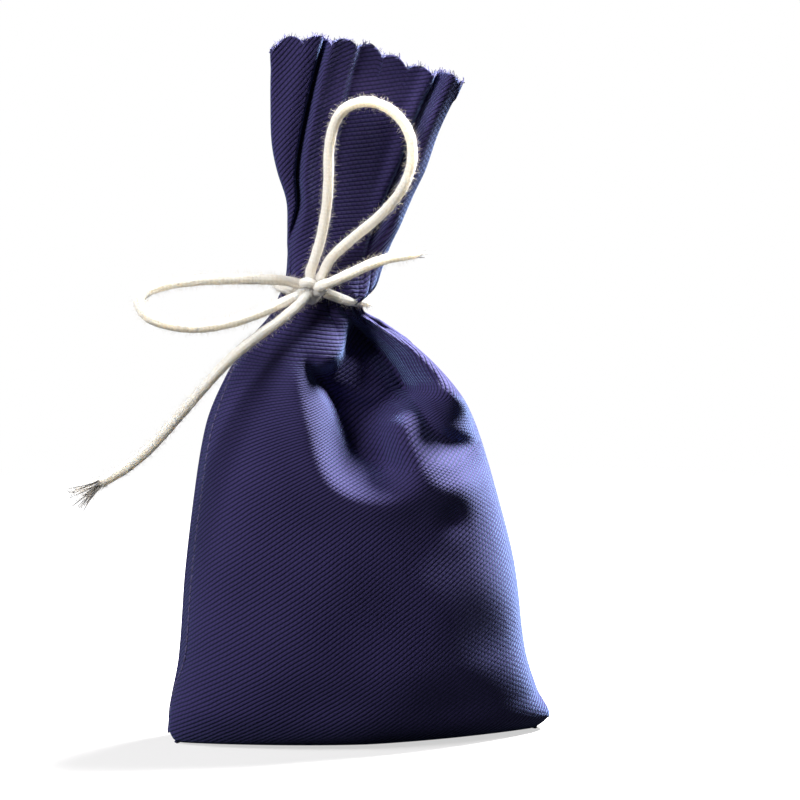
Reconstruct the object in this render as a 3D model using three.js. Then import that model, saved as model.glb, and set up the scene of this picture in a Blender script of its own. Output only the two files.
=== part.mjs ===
// A lavender sachet: a small twill pouch filled with dried lavender buds, gathered at the neck and tied with
// a cotton cord in a bow. Millimetres, +Z up, the front faces -Y, the origin is under the middle of the foot.
import * as THREE from 'three';

// Cloth, thread and cord
const CLOTH = 0.9;
const THREAD_DIAMETER = 0.8;
const CORD_DIAMETER = 2.6;
const PIECE_GAP = 0.3;

// Pouch, measured over the cloth
const FOOT_WIDTH = 94;
const FOOT_DEPTH = 28;
const CORNER_SPAN = 100;
const CORNER_DEPTH = 34;
const CORNER_LIFT = 3;
const HIP_WIDTH = 91;
const HIP_DEPTH = 44;
const HIP_HEIGHT = 22;
const BELLY_WIDTH = 85.6;
const BELLY_DEPTH = 47;
const BELLY_HEIGHT = 44;
const SHOULDER_WIDTH = 69.2;
const SHOULDER_DEPTH = 42;
const SHOULDER_HEIGHT = 82;
const COLLAR_WIDTH = 42.4;
const COLLAR_DEPTH = 28;
const COLLAR_DROP = 12.6; // below the neck
const NECK_WIDTH = 19.2;
const NECK_DEPTH = 13.2;
const NECK_HEIGHT = 115.6;
const FOOT_ROUNDNESS = 1.5; // a cross-section's fullness: 2 is an ellipse, more is boxier
const WALL_ROUNDNESS = 2.3;

// The pouch leans a little to its left, and the neck and the frill tip back to the right
const BELLY_SHIFT = -1.7;
const SHOULDER_SHIFT = -4.2;
const COLLAR_SHIFT = -6.2;
const NECK_SHIFT = -8.6;
const COLLAR_TILT = THREE.MathUtils.degToRad(3);
const FRILL_TILT = THREE.MathUtils.degToRad(10.5);

// The gathered cloth turns on a rounded core inside the tie
const NECK_WALL = 2; // bunched cloth between the core and the tie
const NECK_STEP = 2.6; // how far the pouch's cloth stops below the middle of the tie
const GATHER_LENGTH = 17; // below the tie, where the cloth is packed solid

// Frill above the tie
const FRILL_HEIGHT = 62;
const FRILL_WIDTH = 51.6;
const FRILL_RIM = 0.6;
const FRILL_WAIST_DEPTH = 10.8;
const FRILL_WAIST_HEIGHT = 3.6;
const RUFFLE_WIDTH = 26;
const RUFFLE_DEPTH = 9.6;
const RUFFLE_HEIGHT = 12;
const FAN_WIDTH = 42;
const FAN_DEPTH = 4;
const FAN_HEIGHT = 40;
const GATHER_ROUNDNESS = 2;
const FAN_ROUNDNESS = 6;
const MOUTH_GAP = 0.8;
const PLEAT_DEPTH = 2.9;
const PLEATS_ACROSS = 1.63;
const PLEAT_VALLEY = -0.48; // as a share of the frill's half width
const PLEAT_START = 6;
const PLEAT_FULL = 34;
const RIPPLE_DEPTH = 0.6;
const RIPPLES_ACROSS = 4.5;
const SCALLOPS = 8;
const SCALLOP_DEPTH = 2.4;

// Folds below the tie. Each is a closed outline of [x, z] points from the middle of the neck, seen from the front.
// Inside it the cloth sinks by the depth over the slope's width; a negative depth stands out.
const FRONT_FOLDS = [
  {
    outline: [
      [6, -3], [-2, -10], [-8.2, -18], [-7.6, -30], [-2.6, -44.4], [7, -49.8], [16, -47.5], [18, -36], [24, -25],
      [17, -14],
    ],
    depth: 12,
    slope: 9.5,
  },
  { outline: [[0, -5], [9, -13], [17, -24], [8, -21], [-1, -14]], depth: -5, slope: 5 },
  { outline: [[7, -4], [17, -16], [22.6, -26], [31, -36], [46, -40], [46, -4]], depth: -7, slope: 13 },
];
const BACK_FOLDS = [
  {
    outline: [
      [5, 2], [7.6, -13.6], [2.6, -23.6], [-3.4, -35.6], [-9, -46], [4, -48], [16, -40], [28, -30], [26, -4],
    ],
    depth: 7.5,
    slope: 7,
  },
];

// Knot and bow. Each route is a list of points from the middle of the knot.
const KNOT_DIAMETER = 8;
const KNOT_SHIFT = -4.5; // from the middle of the neck
const KNOT_RAISE = 2.3;
const KNOT_NESTLE = 0.4; // how deep the knot sits in the dip above the tie
const WRAP_CLEARANCE = 0.7;
const WRAP_TURN = [-68, 215]; // degrees round the neck, counted from its right side
const WRAP_POINTS = 10;
const WRAP_START = [4, 1.9, -1.3];
const WRAP_END = [-3.6, 2.6, -1.2];
const UPRIGHT_LOOP = [
  [-0.2, 0.9, 4.2], [0.9, 1, 7.5], [2.6, 1.2, 13], [4.1, 1.4, 21], [4.6, 1.6, 28.5], [4.8, 1.8, 35.3],
  [6.3, 2, 41.6], [9.3, 2, 45.4], [14.2, 2, 46.8], [19.3, 2, 45.4], [23.4, 2, 41.9], [25.6, 1.9, 37.4],
  [25.9, 1.7, 32], [24.1, 1.6, 26.2], [20.7, 1.4, 21.3], [16, 1.2, 16.8], [10.4, 1, 12.4], [5.2, 0.6, 7.8],
  [2.6, 0.3, 3.4],
];
const LEFT_LOOP = [
  [-4, 0.2, 1.6], [-7.5, -0.3, 2.4], [-13.5, -0.8, 2.8], [-21.2, -1.3, 3], [-29, -1.8, 2.9],
  [-36.6, -2.5, 2.1], [-42, -3.8, 0.5], [-44.2, -5.3, -2], [-42.4, -6.7, -5.2], [-37.2, -7.3, -7.4],
  [-29.8, -7.3, -8.3], [-21.9, -6.8, -7.4], [-14.3, -5.3, -5.3], [-8, -3.1, -3], [-3.8, -1.5, -1.4],
];
const LEFT_TAIL = [
  [-1.3, -1.5, -3.9], [-2.7, -2.5, -6.1], [-8.6, -4.4, -7.9], [-14.8, -5.8, -11.1], [-20.7, -6.8, -15.5],
  [-26.6, -7.3, -21.3], [-32, -7.8, -27.2], [-37.6, -7.9, -33.4], [-42.8, -7.9, -38.8], [-48.6, -7.8, -43.3],
  [-54.4, -7.8, -46.6],
];
const RIGHT_TAIL = [
  [3.4, -2.5, -0.8], [5.3, -3.7, -0.8], [8.2, -3.6, 1.7], [11.4, -2.7, 4.5], [15, -2, 6.2],
  [18.7, -1.4, 7.4], [21.8, -0.9, 8], [25, -0.4, 8.3],
];

// Loosened ends, whose strands fan out past the cord's own width by these factors
const LEFT_FRAY_LENGTH = 8;
const RIGHT_FRAY_LENGTH = 4.5;
const FRAY_STRANDS = 6;
const FRAY_SWELL = 1.3;
const FRAY_SWELL_PLACE = 0.3; // as a share of the fray's length
const FRAY_SPREAD = 2.2;
const FRAY_VALLEY_SPREAD = 1.5;
const FRAY_VALLEY = 0.45; // where the gaps between strands end, as a share of the fray's length

// Facets
const POUCH_COLUMNS = 32;
const POUCH_ROW_STEP = 4.5;
const FOLD_POINTS = 40;
const SCALLOP_COLUMNS = 4;
const FRILL_ROWS = 9;
const CORE_ROWS = 6;
const CORD_SIDES = 8;
const CORD_STEP = 2; // cord diameters
const WRAP_STEP = 1.2;
const THREAD_SIDES = 6;
const THREAD_STEP = 5;
const LEAST_STEPS = 3;
const KNOT_COLUMNS = 16;
const KNOT_ROWS = 12;

const FRONT = -1;
const BACK = 1;
const { lerp, smoothstep } = THREE.MathUtils;

const cloth = new THREE.MeshStandardMaterial({ color: 0x2a2450, roughness: 0.9, metalness: 0 });
const thread = new THREE.MeshStandardMaterial({ color: 0x3d3868, roughness: 0.8, metalness: 0 });
const cotton = new THREE.MeshStandardMaterial({ color: 0xf3ece0, roughness: 0.95, metalness: 0 });
const lavender = new THREE.MeshStandardMaterial({ color: 0x6c6790, roughness: 1, metalness: 0 });

const seamSlot = THREAD_DIAMETER / 2 + PIECE_GAP; // from the seam's middle to the edge of each panel
const coreRadius = NECK_DEPTH / 2 - NECK_WALL;
const coreHalfLength = NECK_WIDTH / 2 - NECK_WALL;
const cupRadius = coreRadius + PIECE_GAP;
const cupHalfLength = coreHalfLength + PIECE_GAP;
const knotForward = NECK_DEPTH / 2 + KNOT_DIAMETER / 2 - KNOT_NESTLE;
const collarHeight = NECK_HEIGHT - COLLAR_DROP;
const neckMiddle = new THREE.Vector3(NECK_SHIFT, 0, NECK_HEIGHT);
const neckTurn = new THREE.Matrix4().makeRotationY(FRILL_TILT);
const neckFrame = neckTurn.clone().setPosition(neckMiddle);
const neckSeat = new THREE.Vector3(0, 0, -NECK_STEP).applyMatrix4(neckFrame);
const gatherTop = neckSeat.z - GATHER_LENGTH / 3;
const gatherBottom = neckSeat.z - GATHER_LENGTH;

const stations = [
  { height: 0, width: FOOT_WIDTH, depth: FOOT_DEPTH, shift: 0, tilt: 0 },
  { height: CORNER_LIFT, width: CORNER_SPAN, depth: CORNER_DEPTH, shift: 0, tilt: 0 },
  { height: HIP_HEIGHT, width: HIP_WIDTH, depth: HIP_DEPTH, shift: 0, tilt: 0 },
  { height: BELLY_HEIGHT, width: BELLY_WIDTH, depth: BELLY_DEPTH, shift: BELLY_SHIFT, tilt: 0 },
  { height: SHOULDER_HEIGHT, width: SHOULDER_WIDTH, depth: SHOULDER_DEPTH, shift: SHOULDER_SHIFT, tilt: 0 },
  { height: collarHeight, width: COLLAR_WIDTH, depth: COLLAR_DEPTH, shift: COLLAR_SHIFT, tilt: COLLAR_TILT },
  { height: neckSeat.z, width: NECK_WIDTH, depth: NECK_DEPTH, shift: neckSeat.x, tilt: FRILL_TILT },
];
const pouchSizes = new THREE.CubicInterpolant(
  stations.map((station) => station.height),
  stations.flatMap(({ width, depth, shift, tilt }) => [width / 2, depth / 2, shift, tilt]),
  4,
);
const frillStations = [
  { height: FRILL_RIM, width: NECK_WIDTH, depth: NECK_DEPTH },
  { height: FRILL_WAIST_HEIGHT, width: NECK_WIDTH, depth: FRILL_WAIST_DEPTH },
  { height: RUFFLE_HEIGHT, width: RUFFLE_WIDTH, depth: RUFFLE_DEPTH },
  { height: FAN_HEIGHT, width: FAN_WIDTH, depth: FAN_DEPTH },
  { height: FRILL_HEIGHT, width: FRILL_WIDTH, depth: MOUTH_GAP + 3 * CLOTH },
];
const frillSizes = new THREE.CubicInterpolant(
  frillStations.map((station) => station.height),
  frillStations.flatMap(({ width, depth }) => [width / 2, depth / 2]),
  2,
);

const frontFolds = FRONT_FOLDS.map((fold) => ({ ...fold, runs: foldRuns(fold) }));
const backFolds = BACK_FOLDS.map((fold) => ({ ...fold, runs: foldRuns(fold) }));

// How far a cross-section has swelled at a place across it, from 0 at the seams to 1 in the middle
function crown(across, roundness) {
  return (1 - Math.min(Math.abs(across), 1) ** roundness) ** (1 / roundness);
}

// A fold's outline as straight runs between points of a smooth closed curve
function foldRuns({ outline }) {
  const points = outline.map(([x, z]) => new THREE.Vector3(x + NECK_SHIFT, z + NECK_HEIGHT, 0));
  const loop = new THREE.CatmullRomCurve3(points, true).getPoints(FOLD_POINTS);
  return loop.slice(1).map((point, i) => new THREE.Line3(loop[i], point));
}

// How far a place lies inside an outline's runs, or 0 outside it
function insideBy(runs, x, z) {
  const place = new THREE.Vector3(x, z, 0);
  const nearest = new THREE.Vector3();
  let distance = Infinity;
  let inside = false;
  for (const run of runs) {
    distance = Math.min(distance, place.distanceTo(run.closestPointToPoint(place, true, nearest)));
    const { start, end } = run;
    if ((start.y > z) !== (end.y > z) && x < lerp(start.x, end.x, (z - start.y) / (end.y - start.y))) {
      inside = !inside;
    }
  }
  return inside ? distance : 0;
}

function foldDepth(folds, x, height) {
  return folds.reduce((sum, { runs, depth, slope }) => {
    return sum + depth * smoothstep(insideBy(runs, x, height), 0, slope);
  }, 0);
}

// A point on one side of the pouch, with share running from the left seam to the right seam
function pouchPoint(height, share, side, inset) {
  const [halfWidth, halfDepth, shift, tilt] = pouchSizes.evaluate(height);
  const across = -Math.cos(Math.PI * share);
  const x = (halfWidth - inset) * across;
  const swell = crown(across, lerp(FOOT_ROUNDNESS, WALL_ROUNDNESS, smoothstep(height, 0, HIP_HEIGHT)));
  const folds = side === FRONT ? frontFolds : backFolds;
  const fold = foldDepth(folds, shift + halfWidth * across, height) * (1 - smoothstep(height, gatherTop, neckSeat.z));
  const y = side * (seamSlot + (halfDepth - seamSlot - inset - fold) * swell);
  return new THREE.Vector3(x * Math.cos(tilt) + shift, y, height - x * Math.sin(tilt));
}

function pouchHeights() {
  const heights = [0];
  for (let i = 1; i < stations.length; i++) {
    const rise = stations[i].height - stations[i - 1].height;
    const rows = Math.max(Math.ceil(rise / POUCH_ROW_STEP), LEAST_STEPS);
    for (let k = 1; k <= rows; k++) {
      heights.push(stations[i - 1].height + rise * k / rows);
    }
  }
  return heights;
}

// The cloth's inner skin starts above the foot's thickness and meets the outer one at the tie
function insideHeight(height) {
  return lerp(CLOTH, neckSeat.z, height / neckSeat.z);
}

// Turns two grids of points, an outer and an inner skin, into one closed body
function closedSheet(outer, inner) {
  const positions = [];
  const known = new Map();
  const faces = [];
  const weld = (point) => {
    const key = point.toArray().map((value) => Math.round(value * 1000)).join();
    if (!known.has(key)) {
      known.set(key, positions.length);
      positions.push(point);
    }
    return known.get(key);
  };
  const triangle = (a, b, c) => {
    if (a !== b && b !== c && c !== a) {
      faces.push(a, b, c);
    }
  };
  const quad = (...corners) => {
    const [a, b, c, d] = corners.map(weld);
    triangle(a, b, c);
    triangle(a, c, d);
  };
  const lastRow = outer.length - 1;
  const lastColumn = outer[0].length - 1;
  for (let r = 0; r < lastRow; r++) {
    for (let c = 0; c < lastColumn; c++) {
      quad(outer[r][c], outer[r][c + 1], outer[r + 1][c + 1], outer[r + 1][c]);
      quad(inner[r][c], inner[r + 1][c], inner[r + 1][c + 1], inner[r][c + 1]);
    }
    quad(outer[r][0], outer[r + 1][0], inner[r + 1][0], inner[r][0]);
    quad(outer[r][lastColumn], inner[r][lastColumn], inner[r + 1][lastColumn], outer[r + 1][lastColumn]);
  }
  for (let c = 0; c < lastColumn; c++) {
    quad(outer[0][c], inner[0][c], inner[0][c + 1], outer[0][c + 1]);
    quad(outer[lastRow][c], outer[lastRow][c + 1], inner[lastRow][c + 1], inner[lastRow][c]);
  }
  return facingOut(positions, faces);
}

function facingOut(positions, faces) {
  let volume = 0;
  for (let i = 0; i < faces.length; i += 3) {
    const [a, b, c] = faces.slice(i, i + 3).map((index) => positions[index]);
    volume += a.dot(b.clone().cross(c));
  }
  const geometry = new THREE.BufferGeometry().setFromPoints(positions);
  geometry.setIndex(volume < 0 ? faces.reverse() : faces);
  return geometry;
}

function grid(rows, columns, pointAt) {
  return rows.map((row) => Array.from({ length: columns + 1 }, (_, c) => pointAt(row, c / columns)));
}

// One half of the pouch: the flat foot, the wall up to the tie, and half of the rounded core on top
function pouchPanel(side) {
  const heights = pouchHeights();
  const footShares = [0, 0.5];
  const coreAngles = Array.from({ length: CORE_ROWS + 1 }, (_, i) => {
    return lerp(-Math.asin(NECK_STEP / coreRadius), Math.PI / 2, i / CORE_ROWS);
  });
  const foot = (inset, height) => grid(footShares, POUCH_COLUMNS, (footShare, share) => {
    const edge = pouchPoint(0, share, side, inset);
    return new THREE.Vector3(edge.x, lerp(side * seamSlot, edge.y, footShare), height);
  });
  const innerWall = grid(heights, POUCH_COLUMNS, (height, share) => {
    const point = pouchPoint(insideHeight(height), share, side, CLOTH);
    point.y = lerp(point.y, side * PIECE_GAP / 2, smoothstep(height, gatherBottom, gatherTop));
    return point;
  });
  const core = (solid) => grid(coreAngles, POUCH_COLUMNS, (angle, share) => {
    const across = -Math.cos(Math.PI * share);
    const radius = coreRadius * Math.sqrt(Math.max(1 - across ** 2, 0));
    const y = solid ? Math.max(radius * Math.cos(angle), PIECE_GAP / 2) : PIECE_GAP / 2;
    const point = new THREE.Vector3(across * coreHalfLength, side * y, radius * Math.sin(angle));
    return point.applyMatrix4(neckFrame);
  });
  const outerWall = grid(heights, POUCH_COLUMNS, (height, share) => pouchPoint(height, share, side, 0));
  const outer = [...foot(0, 0), ...outerWall, ...core(true)];
  const inner = [...foot(CLOTH, CLOTH), ...innerWall, ...core(false)];
  return closedSheet(outer, inner);
}

// The buds fill the pouch up to where the cloth is gathered solid
function filling() {
  const inset = CLOTH + 2 * PIECE_GAP;
  const heights = pouchHeights().map(insideHeight).filter((height) => height < gatherBottom);
  heights[0] = inset;
  const [front, back] = [FRONT, BACK].map((side) => {
    return grid(heights, POUCH_COLUMNS, (height, share) => pouchPoint(height, share, side, inset));
  });
  return closedSheet(front, back);
}

function pleat(across, height) {
  const wave = PLEAT_DEPTH * Math.cos(Math.PI * PLEATS_ACROSS * (across - PLEAT_VALLEY));
  const ripple = RIPPLE_DEPTH * Math.cos(Math.PI * RIPPLES_ACROSS * across);
  return (wave + ripple) * smoothstep(height, PLEAT_START, PLEAT_FULL);
}

// One layer of the frill, in the neck's own frame: gathered round the core below, a pleated sheet above
function frillLayer(side) {
  const columns = SCALLOPS * SCALLOP_COLUMNS;
  const rimAngle = Math.asin(FRILL_RIM / cupRadius);
  const heights = [];
  for (let i = 0; i <= CORE_ROWS; i++) {
    heights.push(cupRadius * Math.sin(lerp(rimAngle, Math.PI / 2, i / CORE_ROWS)));
  }
  for (let i = 1; i <= FRILL_ROWS; i++) {
    heights.push(lerp(cupRadius, FRILL_HEIGHT, i / FRILL_ROWS));
  }
  const scalloped = (height, share) => {
    const notch = SCALLOP_DEPTH * (0.5 - 0.5 * Math.cos(2 * Math.PI * SCALLOPS * share));
    return height - notch * smoothstep(height, FAN_HEIGHT, FRILL_HEIGHT);
  };
  const outer = grid(heights, columns, (height, share) => {
    const [halfWidth, halfDepth] = frillSizes.evaluate(height);
    const across = 2 * share - 1;
    const edge = Math.min(seamSlot + CLOTH, halfDepth);
    const spread = smoothstep(height, RUFFLE_HEIGHT, FAN_HEIGHT);
    const swell = crown(across, lerp(GATHER_ROUNDNESS, FAN_ROUNDNESS, spread));
    const y = pleat(across, height) + side * (edge + (halfDepth - edge) * swell);
    return new THREE.Vector3(halfWidth * across, y, scalloped(height, share));
  });
  const inner = grid(heights, columns, (height, share) => {
    const [halfWidth] = frillSizes.evaluate(height);
    const across = 2 * share - 1;
    const x = halfWidth * across;
    const cupSlice = cupRadius * Math.sqrt(Math.max(1 - (x / cupHalfLength) ** 2, 0));
    const cup = Math.sqrt(Math.max(cupSlice ** 2 - height ** 2, 0));
    const mouth = lerp(PIECE_GAP, MOUTH_GAP, smoothstep(height, RUFFLE_HEIGHT, FRILL_HEIGHT)) / 2;
    const atSeam = Math.abs(across) === 1 && height > cupRadius;
    const y = pleat(across, height) + side * (atSeam ? seamSlot : Math.max(cup, mouth));
    return new THREE.Vector3(x, y, scalloped(height, share));
  });
  return closedSheet(outer, inner);
}

// A tube along a smooth curve through the points
function tube(points, diameter, sides, stepLength) {
  const path = new THREE.CatmullRomCurve3(points);
  const section = Array.from({ length: sides }, (_, i) => {
    const angle = (2 * Math.PI * i) / sides;
    return new THREE.Vector2(Math.cos(angle), Math.sin(angle)).multiplyScalar(diameter / 2);
  });
  const steps = Math.max(LEAST_STEPS, Math.round(path.getLength() / stepLength));
  return new THREE.ExtrudeGeometry(new THREE.Shape(section), { steps, extrudePath: path });
}

function seamThread(points) {
  return tube(points, THREAD_DIAMETER, THREAD_SIDES, THREAD_STEP);
}

function sideSeam(share) {
  const points = pouchHeights()
    .filter((height) => height >= CORNER_LIFT && height < gatherBottom)
    .map((height) => pouchPoint(height, share, FRONT, CLOTH / 2).setY(0));
  return seamThread(points);
}

function bottomSeam() {
  const reach = FOOT_WIDTH / 2 - CLOTH;
  const height = THREAD_DIAMETER / 2 + PIECE_GAP / 3;
  return seamThread([-reach, 0, reach].map((x) => new THREE.Vector3(x, 0, height)));
}

function frillSeam(across) {
  const points = Array.from({ length: FRILL_ROWS }, (_, i) => {
    const height = lerp(RUFFLE_HEIGHT, FRILL_HEIGHT - CLOTH, i / (FRILL_ROWS - 1));
    const [halfWidth] = frillSizes.evaluate(height);
    return new THREE.Vector3(halfWidth * across, pleat(across, height), height);
  });
  return seamThread(points);
}

const toVectors = (route) => route.map((point) => new THREE.Vector3(...point));

function cord(route) {
  return tube(toVectors(route), CORD_DIAMETER, CORD_SIDES, CORD_STEP * CORD_DIAMETER);
}

// The cord's turn round the neck, from one side of the knot behind the neck to the other, in the neck's frame
function neckWrap(knotPlace) {
  const reach = WRAP_CLEARANCE + CORD_DIAMETER / 2;
  const acrossReach = NECK_WIDTH / 2 + reach;
  const depthReach = NECK_DEPTH / 2 + reach;
  const turn = Array.from({ length: WRAP_POINTS }, (_, i) => {
    const angle = THREE.MathUtils.degToRad(lerp(...WRAP_TURN, i / (WRAP_POINTS - 1)));
    return new THREE.Vector3(acrossReach * Math.cos(angle), depthReach * Math.sin(angle), 0);
  });
  const untilt = neckTurn.clone().invert();
  const [start, end] = toVectors([WRAP_START, WRAP_END]);
  [start, end].forEach((point) => point.applyMatrix4(untilt).add(knotPlace));
  return tube([start, ...turn, end], CORD_DIAMETER, CORD_SIDES, WRAP_STEP * CORD_DIAMETER);
}

// Loosened strands at a cord's cut end: a tuft that fans out from the cord, with a tip for each strand
function fray(route, length) {
  const points = toVectors(route);
  const path = new THREE.CatmullRomCurve3(points);
  const direction = path.getTangent(1);
  const rootRadius = CORD_DIAMETER / 2;
  const swellPlace = length * FRAY_SWELL_PLACE;
  const rings = [
    { radius: rootRadius, tip: 0, valley: 0 },
    { radius: rootRadius * FRAY_SWELL, tip: swellPlace, valley: swellPlace },
    { radius: rootRadius * FRAY_SPREAD, tip: length, valley: length * FRAY_VALLEY },
  ];
  const corners = 2 * FRAY_STRANDS;
  const ringPoint = ({ radius, tip, valley }, c) => {
    const angle = (2 * Math.PI * c) / corners;
    const isTip = c % 2 === 0;
    const reach = isTip ? radius : Math.min(radius, rootRadius * FRAY_VALLEY_SPREAD);
    return new THREE.Vector3(reach * Math.cos(angle), reach * Math.sin(angle), isTip ? tip : valley);
  };
  const positions = rings.flatMap((ring) => Array.from({ length: corners }, (_, c) => ringPoint(ring, c)));
  const rootCentre = positions.push(new THREE.Vector3()) - 1;
  const endCentre = positions.push(new THREE.Vector3(0, 0, length * FRAY_VALLEY)) - 1;
  const faces = [];
  const lastRing = (rings.length - 1) * corners;
  for (let c = 0; c < corners; c++) {
    const next = (c + 1) % corners;
    faces.push(rootCentre, next, c, endCentre, lastRing + c, lastRing + next);
    for (let start = 0; start < lastRing; start += corners) {
      faces.push(start + c, start + next, start + corners + next);
      faces.push(start + c, start + corners + next, start + corners + c);
    }
  }
  const turn = new THREE.Quaternion().setFromUnitVectors(new THREE.Vector3(0, 0, 1), direction);
  const root = points.at(-1).clone().addScaledVector(direction, PIECE_GAP);
  return facingOut(positions, faces).applyQuaternion(turn).translate(...root);
}

function addMesh(group, name, geometry, material) {
  const mesh = new THREE.Mesh(geometry, material);
  mesh.name = name;
  group.add(mesh);
}

const sachet = new THREE.Group();
addMesh(sachet, 'front_panel', pouchPanel(FRONT), cloth);
addMesh(sachet, 'back_panel', pouchPanel(BACK), cloth);
addMesh(sachet, 'lavender_filling', filling(), lavender);
addMesh(sachet, 'left_seam_thread', sideSeam(0), thread);
addMesh(sachet, 'right_seam_thread', sideSeam(1), thread);
addMesh(sachet, 'bottom_seam_thread', bottomSeam(), thread);

const neck = new THREE.Group();
neck.position.copy(neckMiddle);
neck.rotation.y = FRILL_TILT;
sachet.add(neck);
const knotMiddle = new THREE.Vector3(KNOT_SHIFT, -knotForward, KNOT_RAISE);
const knotInNeck = knotMiddle.clone().applyMatrix4(neckTurn.clone().invert());
addMesh(neck, 'front_frill', frillLayer(FRONT), cloth);
addMesh(neck, 'back_frill', frillLayer(BACK), cloth);
addMesh(neck, 'left_frill_thread', frillSeam(-1), thread);
addMesh(neck, 'right_frill_thread', frillSeam(1), thread);
addMesh(neck, 'neck_wrap', neckWrap(knotInNeck), cotton);

const bow = new THREE.Group();
bow.position.copy(neckMiddle).add(knotMiddle);
sachet.add(bow);
addMesh(bow, 'bow_knot', new THREE.SphereGeometry(KNOT_DIAMETER / 2, KNOT_COLUMNS, KNOT_ROWS), cotton);
addMesh(bow, 'upright_loop', cord(UPRIGHT_LOOP), cotton);
addMesh(bow, 'left_loop', cord(LEFT_LOOP), cotton);
addMesh(bow, 'left_tail', cord(LEFT_TAIL), cotton);
addMesh(bow, 'right_tail', cord(RIGHT_TAIL), cotton);
addMesh(bow, 'left_tail_fray', fray(LEFT_TAIL, LEFT_FRAY_LENGTH), cotton);
addMesh(bow, 'right_tail_fray', fray(RIGHT_TAIL, RIGHT_FRAY_LENGTH), cotton);

export default sachet;
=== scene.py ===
import math

import bmesh
import bpy
import numpy as np
from mathutils import Matrix, Vector


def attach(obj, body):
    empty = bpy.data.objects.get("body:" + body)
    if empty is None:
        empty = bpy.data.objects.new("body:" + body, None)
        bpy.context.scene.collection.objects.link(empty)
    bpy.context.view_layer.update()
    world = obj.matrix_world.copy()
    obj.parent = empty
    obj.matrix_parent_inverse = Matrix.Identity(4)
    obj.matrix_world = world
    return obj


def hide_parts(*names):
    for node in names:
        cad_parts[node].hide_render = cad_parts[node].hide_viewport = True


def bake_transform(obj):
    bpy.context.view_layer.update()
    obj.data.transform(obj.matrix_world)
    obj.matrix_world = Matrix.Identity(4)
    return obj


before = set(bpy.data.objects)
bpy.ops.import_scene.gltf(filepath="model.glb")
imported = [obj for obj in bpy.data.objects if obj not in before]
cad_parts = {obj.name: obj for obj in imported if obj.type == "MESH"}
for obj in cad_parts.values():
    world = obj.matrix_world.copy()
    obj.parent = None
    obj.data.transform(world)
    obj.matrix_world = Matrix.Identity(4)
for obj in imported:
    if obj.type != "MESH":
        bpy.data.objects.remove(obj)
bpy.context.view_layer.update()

# Sizes are millimetres, in the shared frame: +Z up, the front faces -Y. Meshes are written in metres.
MM = 0.001
FRONT = -1
BACK = 1

# The camera stands to the left of the front and a little above it
CAMERA_AZIMUTH = -10
CAMERA_ELEVATION = 8
CAMERA_DISTANCE = 900
VIEW_MIDDLE = (13.0, 10.0, 86.3)
VIEW_WIDTH = 208
SENSOR = 36

# Cloth
CLOTH_THICKNESS = 0.6
LAYER_GAP = 0.25  # half of the least gap between the two layers
SEAM_TURN = 0.2  # how far round to the front the left seam lies, in radians
SEAM_TURN_STARTS = (8, 26)  # heights between which the seam turns to the front, and back again
SEAM_TURN_ENDS = (88, 104)
SEAM_GROOVE = 0.8
GATHERS = 6.5  # small pleats of one panel under the cord
GATHER_DEPTH = 1.5
SHOULDER_GRAIN = (56, 100)  # heights between which the weave turns to follow the side seams
ROWS = 236
COLUMNS = 204

# Neck, where the cord ties the cloth: the frill above it leans to the right
NECK = np.array([-8.6, 0, 115.6])
FRILL_LEAN = math.radians(10.5)
FRILL_HEIGHT = 62

# Cross-sections of the pouch: shift to the side, height, lean in degrees, half width, half depth, roundness
POUCH_SECTIONS = [
    (0, 0.5, 0, 46.4, 0.3, 1.5),
    (0, 0.35, 0, 47.6, 8, 1.5),
    (0, 1, 0, 48.8, 14.6, 1.5),
    (0.8, 4, 0, 50.6, 18, 1.6),
    (-0.6, 11, 0, 48.2, 20.6, 1.9),
    (-1.2, 22, 0, 45.2, 22.6, 2.2),
    (-1.7, 44, 0, 42.8, 23.5, 2.3),
    (-2.9, 63, 0, 39.2, 23.2, 2.3),
    (-4.2, 82, 0, 34.6, 21.2, 2.3),
    (-5.2, 94, 1.5, 28.4, 17.8, 2.2),
    (-6.2, 103, 3, 21.2, 14, 2.2),
    (-7.6, 109.3, 6, 14.2, 10, 2.1),
]
# Cross-sections at the neck and of the frill, in the neck's frame: shift, height, half width, half depth
FRILL_SECTIONS = [
    (0, -2.6, 11, 8),
    (0, 0, 10.1, 7.1),
    (1.2, 4, 11.6, 7.4),
    (1.4, 9, 12.4, 6.2),
    (1.3, 15, 13.4, 4.8),
    (1.35, 22.3, 15.2, 3.6),
    (0.5, 28, 17.4, 2.9),
    (0.1, 36, 20, 2.3),
    (-0.1, 46, 21.7, 1.9),
    (0.8, FRILL_HEIGHT, 24.9, 1.7),
]
FRILL_ROUNDNESS = (2.1, 5)

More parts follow.
